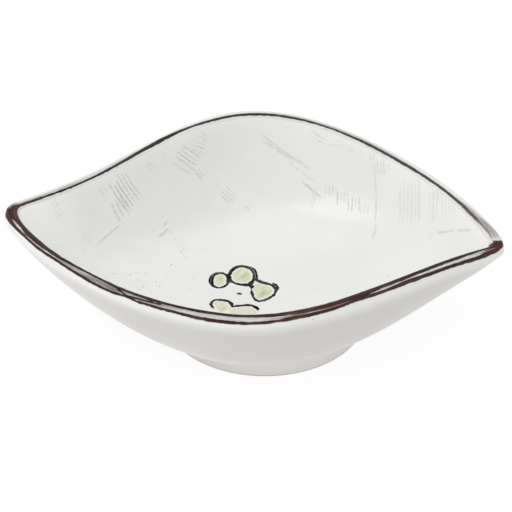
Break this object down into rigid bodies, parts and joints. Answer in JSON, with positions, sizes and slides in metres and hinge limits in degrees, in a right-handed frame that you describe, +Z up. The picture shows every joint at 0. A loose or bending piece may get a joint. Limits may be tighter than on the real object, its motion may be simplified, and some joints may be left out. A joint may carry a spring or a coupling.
{
  "type": "sauce dish",
  "caption": "Leaf-shaped glazed ceramic sauce dish with drawn-out points, a rising lip with a brown brushed band and a low round foot ring.",
  "frame": {"origin": "centre of the dish's box, on the surface that the foot stands on", "axes": "+X towards the sharper right-hand point, +Y towards the far long side of the picture, +Z up"},
  "size_m": [0.1536, 0.11, 0.0439],
  "materials": {
    "white_glaze": "satin off-white glaze with fine specks and faint grey-green brush strokes",
    "foot_glaze": "thin satin glaze, wiped bare where it stands",
    "iron_slip": "brushed iron-brown slip, washed out to grey between darker edges"
  },
  "bodies": {
    "root": {"bowl": "white_glaze", "foot_ring": "foot_glaze", "rim_band": "iron_slip"}
  },
  "joints": []
}
